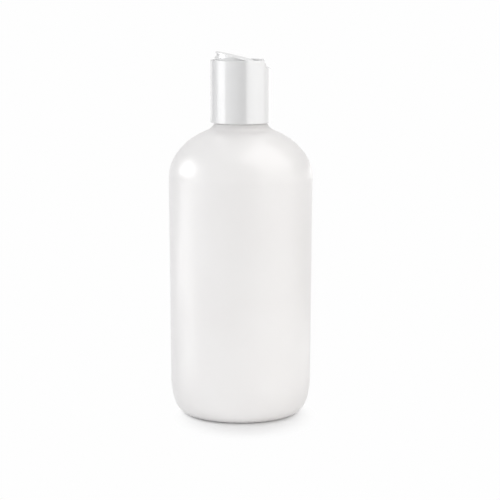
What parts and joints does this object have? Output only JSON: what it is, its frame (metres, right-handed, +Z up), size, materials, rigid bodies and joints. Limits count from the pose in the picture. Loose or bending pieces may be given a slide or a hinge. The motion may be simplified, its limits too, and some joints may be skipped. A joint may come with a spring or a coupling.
{
  "type": "shampoo bottle",
  "caption": "Plain white round-shouldered shampoo bottle with a screw cap whose press disc tilts open to pour.",
  "frame": {"origin": "centre of the standing ring, on the surface that the bottle stands on", "axes": "+Z up along the bottle's axis, -X to the spout, +X to the thumb scoop"},
  "size_m": [0.0644, 0.0644, 0.1635],
  "materials": {
    "bottle_hdpe": "satin blow-moulded HDPE",
    "cap_pp": "polished moulded polypropylene",
    "disc_pp": "polished moulded polypropylene",
    "liner_foam": "closed-cell polyethylene foam"
  },
  "bodies": {
    "bottle": {"bottle": "bottle_hdpe"},
    "seal": {"seal_ring": "liner_foam"},
    "cap": {"cap_body": "cap_pp"},
    "disc": {"flip_disc": "disc_pp"}
  },
  "joints": [
    {"name": "cap_lift", "type": "slide", "parent": "bottle", "child": "seal", "axis": [0, 0, 1], "range_m": [0, 0.00476]},
    {"name": "cap_turn", "type": "hinge", "parent": "seal", "child": "cap", "pos_m": [0, 0, 0.1494], "axis": [0, 0, 1], "range_deg": [0, 540]},
    {"name": "disc_tilt", "type": "hinge", "parent": "cap", "child": "disc", "pos_m": [0.0039, 0, 0.1577], "axis": [0, 1, 0], "range_deg": [-14, 0]}
  ],
  "couplings": [
    {"joint": "cap_lift", "follows": "cap_turn", "m_per_rad": 0.00050531}
  ]
}
